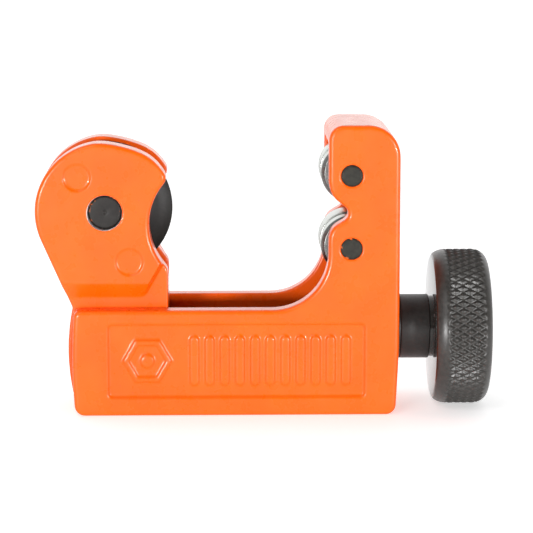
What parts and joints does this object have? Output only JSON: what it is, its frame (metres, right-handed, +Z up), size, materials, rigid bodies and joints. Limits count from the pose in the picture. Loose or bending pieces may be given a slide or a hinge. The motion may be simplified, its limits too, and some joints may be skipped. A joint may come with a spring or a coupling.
{
  "type": "tubing cutter",
  "caption": "Compact screw-feed tubing cutter: C-shaped frame with backing rollers, a cutter wheel in a head that slides on a feed screw, and a knurled turning knob.",
  "frame": {"origin": "midway along the cutter and midway between its cheeks, on the surface that its base stands on", "axes": "+X along the feed screw towards the knob, +Y from the front cheek to the back cheek, +Z up"},
  "size_m": [0.0572, 0.0198, 0.0366],
  "materials": {
    "orange_paint": "gloss paint on a zinc casting",
    "black_steel": "black oxide",
    "tool_steel": "dark hardened tool steel",
    "bright_steel": "ground",
    "spring_steel": "phosphated"
  },
  "bodies": {
    "frame": {"frame": "orange_paint", "roller_pin_upper": "black_steel", "roller_pin_lower": "black_steel"},
    "slide": {"slide": "orange_paint", "wheel_axle": "black_steel"},
    "cutter_wheel": {"cutter_wheel": "tool_steel"},
    "roller_upper": {"roller_upper": "bright_steel"},
    "roller_lower": {"roller_lower": "bright_steel"},
    "screw_and_knob": {"feed_screw": "black_steel", "thrust_washer": "black_steel", "inner_washer": "spring_steel", "retaining_clip": "spring_steel", "spacer_sleeve": "black_steel", "knob": "black_steel"}
  },
  "joints": [
    {"name": "knob_turn", "type": "hinge", "parent": "frame", "child": "screw_and_knob", "pos_m": [0, 0, 0.01], "axis": [-1, 0, 0], "range_deg": [-1220, 8480]},
    {"name": "slide_travel", "type": "slide", "parent": "frame", "child": "slide", "axis": [1, 0, 0], "range_m": [-0.0027, 0.0187]},
    {"name": "cutter_wheel_spin", "type": "hinge", "parent": "slide", "child": "cutter_wheel", "pos_m": [-0.01985, 0, 0.0256], "axis": [0, 1, 0], "continuous": true},
    {"name": "roller_upper_spin", "type": "hinge", "parent": "frame", "child": "roller_upper", "pos_m": [0.0109, 0, 0.03034], "axis": [0, 1, 0], "continuous": true},
    {"name": "roller_lower_spin", "type": "hinge", "parent": "frame", "child": "roller_lower", "pos_m": [0.0109, 0, 0.02118], "axis": [0, 1, 0], "continuous": true}
  ],
  "couplings": [
    {"joint": "slide_travel", "follows": "knob_turn", "m_per_rad": 0.00012633}
  ]
}
